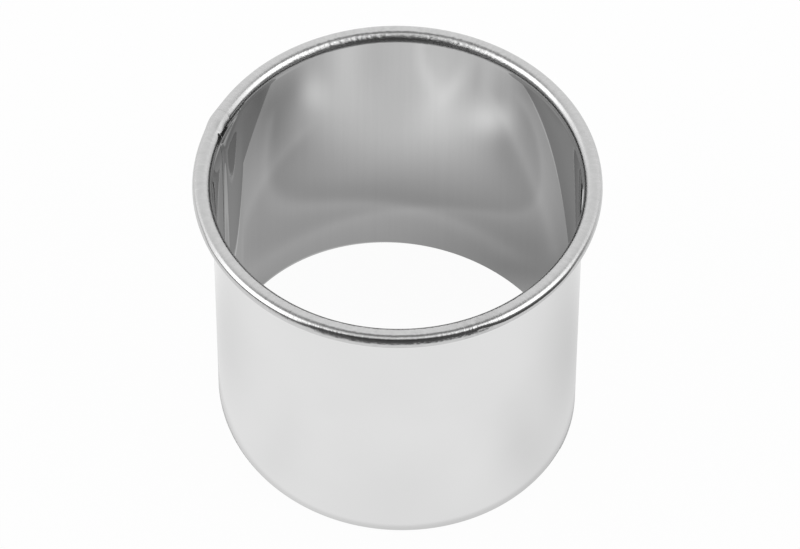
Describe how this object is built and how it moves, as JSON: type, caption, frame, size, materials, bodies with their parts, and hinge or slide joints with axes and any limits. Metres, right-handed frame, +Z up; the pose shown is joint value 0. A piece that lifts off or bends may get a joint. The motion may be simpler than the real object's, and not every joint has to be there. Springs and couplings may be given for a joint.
{
  "type": "biscuit cutter",
  "caption": "Round biscuit cutter: an open ring of thin stainless sheet with a lapped, spot-welded seam and a top edge rolled outwards over a wire.",
  "frame": {"origin": "centre of the cutting edge, in the plane that the ring stands on", "axes": "+Z up along the ring's axis, from the cutting edge to the rolled bead; the lap seam is 154 to 164 degrees round from +X"},
  "size_m": [0.0698, 0.0698, 0.0575],
  "materials": {
    "wall_steel": "bright polished stainless sheet, fine grain round the rolled bead",
    "wire_steel": "plain drawn wire",
    "weld_steel": "dull fused metal"
  },
  "bodies": {
    "root": {"cutter_wall": "wall_steel", "rim_wire": "wire_steel", "spot_welds": "weld_steel"}
  },
  "joints": []
}
